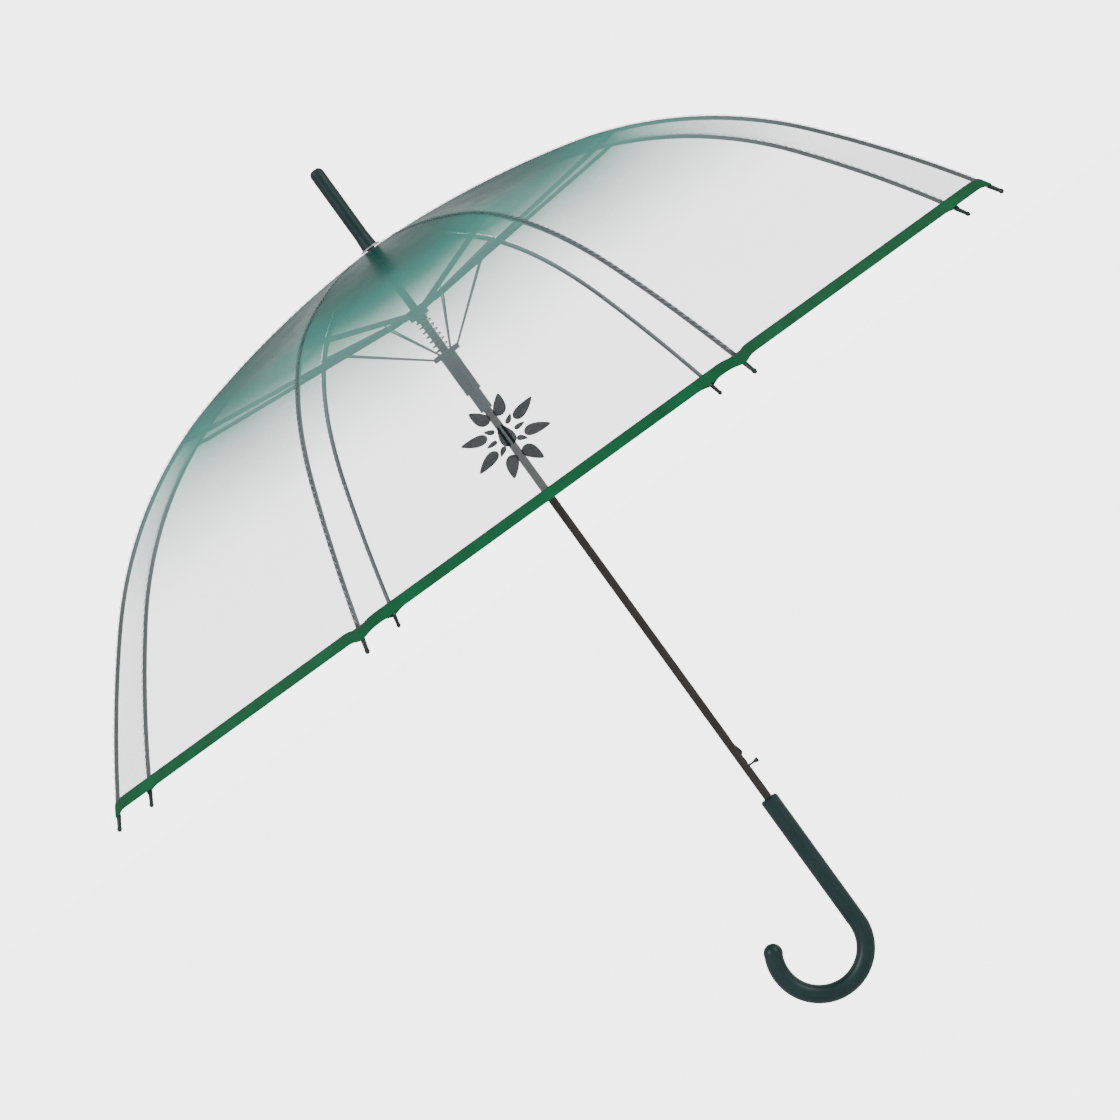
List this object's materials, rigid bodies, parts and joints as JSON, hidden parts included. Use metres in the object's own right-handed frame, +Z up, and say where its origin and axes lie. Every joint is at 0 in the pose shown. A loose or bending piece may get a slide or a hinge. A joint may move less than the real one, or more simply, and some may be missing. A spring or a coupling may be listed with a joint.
{
  "type": "clear dome umbrella",
  "caption": "Clear dome stick umbrella with a tinted crown, a coloured rim binding, metal ribs, a spring runner, a push-button latch and a crook handle, open.",
  "frame": {"origin": "middle of the straight hand grip, on the axis of the shaft", "axes": "+Z up the shaft to the ferrule; the crook opens towards -X and the push button faces +X; +Y completes the right hand"},
  "size_m": [0.9152, 0.9152, 0.8547],
  "materials": {
    "shaft_paint": "satin",
    "handle_plastic": "satin",
    "washer_metal": "satin",
    "notch_plastic": "satin",
    "wire_steel": "satin",
    "clear_film": "gloss",
    "binding_tape": "matte",
    "runner_plastic": "satin",
    "spring_steel": "satin",
    "latch_steel": "satin",
    "button_plastic": "satin",
    "rib_steel": "satin",
    "tip_plastic": "satin",
    "stretcher_steel": "satin"
  },
  "bodies": {
    "frame": {"shaft": "shaft_paint", "handle": "handle_plastic", "ferrule": "handle_plastic", "crown_washer": "washer_metal", "top_notch": "notch_plastic", "notch_ring": "wire_steel", "canopy": "clear_film", "edge_binding": "binding_tape"},
    "inner_rib_1": {"rib_inner_1": "rib_steel"},
    "outer_rib_1": {"rib_outer_1": "rib_steel", "tip_cap_1": "tip_plastic"},
    "strut_1": {"stretcher_1": "stretcher_steel"},
    "wire_1": {"link_1": "wire_steel"},
    "inner_rib_2": {"rib_inner_2": "rib_steel"},
    "outer_rib_2": {"rib_outer_2": "rib_steel", "tip_cap_2": "tip_plastic"},
    "strut_2": {"stretcher_2": "stretcher_steel"},
    "wire_2": {"link_2": "wire_steel"},
    "inner_rib_3": {"rib_inner_3": "rib_steel"},
    "outer_rib_3": {"rib_outer_3": "rib_steel", "tip_cap_3": "tip_plastic"},
    "strut_3": {"stretcher_3": "stretcher_steel"},
    "wire_3": {"link_3": "wire_steel"},
    "inner_rib_4": {"rib_inner_4": "rib_steel"},
    "outer_rib_4": {"rib_outer_4": "rib_steel", "tip_cap_4": "tip_plastic"},
    "strut_4": {"stretcher_4": "stretcher_steel"},
    "wire_4": {"link_4": "wire_steel"},
    "inner_rib_5": {"rib_inner_5": "rib_steel"},
    "outer_rib_5": {"rib_outer_5": "rib_steel", "tip_cap_5": "tip_plastic"},
    "strut_5": {"stretcher_5": "stretcher_steel"},
    "wire_5": {"link_5": "wire_steel"},
    "inner_rib_6": {"rib_inner_6": "rib_steel"},
    "outer_rib_6": {"rib_outer_6": "rib_steel", "tip_cap_6": "tip_plastic"},
    "strut_6": {"stretcher_6": "stretcher_steel"},
    "wire_6": {"link_6": "wire_steel"},
    "inner_rib_7": {"rib_inner_7": "rib_steel"},
    "outer_rib_7": {"rib_outer_7": "rib_steel", "tip_cap_7": "tip_plastic"},
    "strut_7": {"stretcher_7": "stretcher_steel"},
    "wire_7": {"link_7": "wire_steel"},
    "inner_rib_8": {"rib_inner_8": "rib_steel"},
    "outer_rib_8": {"rib_outer_8": "rib_steel", "tip_cap_8": "tip_plastic"},
    "strut_8": {"stretcher_8": "stretcher_steel"},
    "wire_8": {"link_8": "wire_steel"},
    "top_hub": {"hub": "runner_plastic", "hub_ring": "wire_steel"},
    "slider": {"runner": "runner_plastic", "runner_ring": "wire_steel", "coil_spring": "spring_steel"},
    "latch": {"latch_lever": "latch_steel", "push_button": "button_plastic"}
  },
  "joints": [
    {"name": "fold", "type": "hinge", "parent": "frame", "child": "inner_rib_1", "pos_m": [0.00739, 0.00306, 0.6336], "axis": [-0.3827, 0.9239, 0], "range_deg": [0, 81.5], "stiffness_Nm_per_rad": 2, "springref_deg": -34.38, "deforming": ["canopy", "edge_binding"]},
    {"name": "rib_flex_1", "type": "hinge", "parent": "inner_rib_1", "child": "outer_rib_1", "pos_m": [0.22712, 0.09408, 0.61042], "axis": [-0.3827, 0.9239, 0], "range_deg": [-35.47, 0]},
    {"name": "stretcher_fold_1", "type": "hinge", "parent": "inner_rib_1", "child": "strut_1", "pos_m": [0.22712, 0.09408, 0.61042], "axis": [-0.3827, 0.9239, 0], "range_deg": [-163.6, 0]},
    {"name": "link_fold_1", "type": "hinge", "parent": "strut_1", "child": "wire_1", "pos_m": [0.0733, 0.03036, 0.59339], "axis": [-0.3827, 0.9239, 0], "range_deg": [0, 28.93]},
    {"name": "fold_2", "type": "hinge", "parent": "frame", "child": "inner_rib_2", "pos_m": [0.00306, 0.00739, 0.6336], "axis": [-0.9239, 0.3827, 0], "range_deg": [-0.6, 82.1]},
    {"name": "rib_flex_2", "type": "hinge", "parent": "inner_rib_2", "child": "outer_rib_2", "pos_m": [0.09408, 0.22712, 0.61042], "axis": [-0.9239, 0.3827, 0], "range_deg": [-35.47, 0]},
    {"name": "stretcher_fold_2", "type": "hinge", "parent": "inner_rib_2", "child": "strut_2", "pos_m": [0.09408, 0.22712, 0.61042], "axis": [-0.9239, 0.3827, 0], "range_deg": [-163.6, 0]},
    {"name": "link_fold_2", "type": "hinge", "parent": "strut_2", "child": "wire_2", "pos_m": [0.03036, 0.0733, 0.59339], "axis": [-0.9239, 0.3827, 0], "range_deg": [0, 28.93]},
    {"name": "fold_3", "type": "hinge", "parent": "frame", "child": "inner_rib_3", "pos_m": [-0.00306, 0.00739, 0.6336], "axis": [-0.9239, -0.3827, 0], "range_deg": [-0.6, 82.1]},
    {"name": "rib_flex_3", "type": "hinge", "parent": "inner_rib_3", "child": "outer_rib_3", "pos_m": [-0.09408, 0.22712, 0.61042], "axis": [-0.9239, -0.3827, 0], "range_deg": [-35.47, 0]},
    {"name": "stretcher_fold_3", "type": "hinge", "parent": "inner_rib_3", "child": "strut_3", "pos_m": [-0.09408, 0.22712, 0.61042], "axis": [-0.9239, -0.3827, 0], "range_deg": [-163.6, 0]},
    {"name": "link_fold_3", "type": "hinge", "parent": "strut_3", "child": "wire_3", "pos_m": [-0.03036, 0.0733, 0.59339], "axis": [-0.9239, -0.3827, 0], "range_deg": [0, 28.93]},
    {"name": "fold_4", "type": "hinge", "parent": "frame", "child": "inner_rib_4", "pos_m": [-0.00739, 0.00306, 0.6336], "axis": [-0.3827, -0.9239, 0], "range_deg": [-0.6, 82.1]},
    {"name": "rib_flex_4", "type": "hinge", "parent": "inner_rib_4", "child": "outer_rib_4", "pos_m": [-0.22712, 0.09408, 0.61042], "axis": [-0.3827, -0.9239, 0], "range_deg": [-35.47, 0]},
    {"name": "stretcher_fold_4", "type": "hinge", "parent": "inner_rib_4", "child": "strut_4", "pos_m": [-0.22712, 0.09408, 0.61042], "axis": [-0.3827, -0.9239, 0], "range_deg": [-163.6, 0]},
    {"name": "link_fold_4", "type": "hinge", "parent": "strut_4", "child": "wire_4", "pos_m": [-0.0733, 0.03036, 0.59339], "axis": [-0.3827, -0.9239, 0], "range_deg": [0, 28.93]},
    {"name": "fold_5", "type": "hinge", "parent": "frame", "child": "inner_rib_5", "pos_m": [-0.00739, -0.00306, 0.6336], "axis": [0.3827, -0.9239, 0], "range_deg": [-0.6, 82.1]},
    {"name": "rib_flex_5", "type": "hinge", "parent": "inner_rib_5", "child": "outer_rib_5", "pos_m": [-0.22712, -0.09408, 0.61042], "axis": [0.3827, -0.9239, 0], "range_deg": [-35.47, 0]},
    {"name": "stretcher_fold_5", "type": "hinge", "parent": "inner_rib_5", "child": "strut_5", "pos_m": [-0.22712, -0.09408, 0.61042], "axis": [0.3827, -0.9239, 0], "range_deg": [-163.6, 0]},
    {"name": "link_fold_5", "type": "hinge", "parent": "strut_5", "child": "wire_5", "pos_m": [-0.0733, -0.03036, 0.59339], "axis": [0.3827, -0.9239, 0], "range_deg": [0, 28.93]},
    {"name": "fold_6", "type": "hinge", "parent": "frame", "child": "inner_rib_6", "pos_m": [-0.00306, -0.00739, 0.6336], "axis": [0.9239, -0.3827, 0], "range_deg": [-0.6, 82.1]},
    {"name": "rib_flex_6", "type": "hinge", "parent": "inner_rib_6", "child": "outer_rib_6", "pos_m": [-0.09408, -0.22712, 0.61042], "axis": [0.9239, -0.3827, 0], "range_deg": [-35.47, 0]},
    {"name": "stretcher_fold_6", "type": "hinge", "parent": "inner_rib_6", "child": "strut_6", "pos_m": [-0.09408, -0.22712, 0.61042], "axis": [0.9239, -0.3827, 0], "range_deg": [-163.6, 0]},
    {"name": "link_fold_6", "type": "hinge", "parent": "strut_6", "child": "wire_6", "pos_m": [-0.03036, -0.0733, 0.59339], "axis": [0.9239, -0.3827, 0], "range_deg": [0, 28.93]},
    {"name": "fold_7", "type": "hinge", "parent": "frame", "child": "inner_rib_7", "pos_m": [0.00306, -0.00739, 0.6336], "axis": [0.9239, 0.3827, 0], "range_deg": [-0.6, 82.1]},
    {"name": "rib_flex_7", "type": "hinge", "parent": "inner_rib_7", "child": "outer_rib_7", "pos_m": [0.09408, -0.22712, 0.61042], "axis": [0.9239, 0.3827, 0], "range_deg": [-35.47, 0]},
    {"name": "stretcher_fold_7", "type": "hinge", "parent": "inner_rib_7", "child": "strut_7", "pos_m": [0.09408, -0.22712, 0.61042], "axis": [0.9239, 0.3827, 0], "range_deg": [-163.6, 0]},
    {"name": "link_fold_7", "type": "hinge", "parent": "strut_7", "child": "wire_7", "pos_m": [0.03036, -0.0733, 0.59339], "axis": [0.9239, 0.3827, 0], "range_deg": [0, 28.93]},
    {"name": "fold_8", "type": "hinge", "parent": "frame", "child": "inner_rib_8", "pos_m": [0.00739, -0.00306, 0.6336], "axis": [0.3827, 0.9239, 0], "range_deg": [-0.6, 82.1]},
    {"name": "rib_flex_8", "type": "hinge", "parent": "inner_rib_8", "child": "outer_rib_8", "pos_m": [0.22712, -0.09408, 0.61042], "axis": [0.3827, 0.9239, 0], "range_deg": [-35.47, 0]},
    {"name": "stretcher_fold_8", "type": "hinge", "parent": "inner_rib_8", "child": "strut_8", "pos_m": [0.22712, -0.09408, 0.61042], "axis": [0.3827, 0.9239, 0], "range_deg": [-163.6, 0]},
    {"name": "link_fold_8", "type": "hinge", "parent": "strut_8", "child": "wire_8", "pos_m": [0.0733, -0.03036, 0.59339], "axis": [0.3827, 0.9239, 0], "range_deg": [0, 28.93]},
    {"name": "hub_travel", "type": "hinge", "parent": "strut_1", "child": "top_hub", "pos_m": [0.00739, 0.00306, 0.58725], "axis": [-0.3827, 0.9239, 0], "range_deg": [0, 82.1]},
    {"name": "runner_travel", "type": "slide", "parent": "top_hub", "child": "slider", "axis": [0, 0, 1], "range_m": [-0.0003, 0.03168], "deforming": ["coil_spring"]},
    {"name": "latch_press", "type": "hinge", "parent": "frame", "child": "latch", "pos_m": [0.0017, 0, 0.0788], "axis": [0, -1, 0], "range_deg": [0, 3.2], "stiffness_Nm_per_rad": 0.2}
  ],
  "couplings": [
    {"joint": "rib_flex_1", "follows": "fold", "ratio": -0.42785},
    {"joint": "stretcher_fold_1", "follows": "fold", "ratio": -2},
    {"joint": "link_fold_1", "follows": "fold", "ratio": 0.34758},
    {"joint": "fold_2", "follows": "fold", "ratio": 1},
    {"joint": "rib_flex_2", "follows": "fold", "ratio": -0.42785},
    {"joint": "stretcher_fold_2", "follows": "fold", "ratio": -2},
    {"joint": "link_fold_2", "follows": "fold", "ratio": 0.34758},
    {"joint": "fold_3", "follows": "fold", "ratio": 1},
    {"joint": "rib_flex_3", "follows": "fold", "ratio": -0.42785},
    {"joint": "stretcher_fold_3", "follows": "fold", "ratio": -2},
    {"joint": "link_fold_3", "follows": "fold", "ratio": 0.34758},
    {"joint": "fold_4", "follows": "fold", "ratio": 1},
    {"joint": "rib_flex_4", "follows": "fold", "ratio": -0.42785},
    {"joint": "stretcher_fold_4", "follows": "fold", "ratio": -2},
    {"joint": "link_fold_4", "follows": "fold", "ratio": 0.34758},
    {"joint": "fold_5", "follows": "fold", "ratio": 1},
    {"joint": "rib_flex_5", "follows": "fold", "ratio": -0.42785},
    {"joint": "stretcher_fold_5", "follows": "fold", "ratio": -2},
    {"joint": "link_fold_5", "follows": "fold", "ratio": 0.34758},
    {"joint": "fold_6", "follows": "fold", "ratio": 1},
    {"joint": "rib_flex_6", "follows": "fold", "ratio": -0.42785},
    {"joint": "stretcher_fold_6", "follows": "fold", "ratio": -2},
    {"joint": "link_fold_6", "follows": "fold", "ratio": 0.34758},
    {"joint": "fold_7", "follows": "fold", "ratio": 1},
    {"joint": "rib_flex_7", "follows": "fold", "ratio": -0.42785},
    {"joint": "stretcher_fold_7", "follows": "fold", "ratio": -2},
    {"joint": "link_fold_7", "follows": "fold", "ratio": 0.34758},
    {"joint": "fold_8", "follows": "fold", "ratio": 1},
    {"joint": "rib_flex_8", "follows": "fold", "ratio": -0.42785},
    {"joint": "stretcher_fold_8", "follows": "fold", "ratio": -2},
    {"joint": "link_fold_8", "follows": "fold", "ratio": 0.34758},
    {"joint": "hub_travel", "follows": "fold", "ratio": 1},
    {"joint": "runner_travel", "follows": "fold", "m_per_rad": 0.022063}
  ]
}
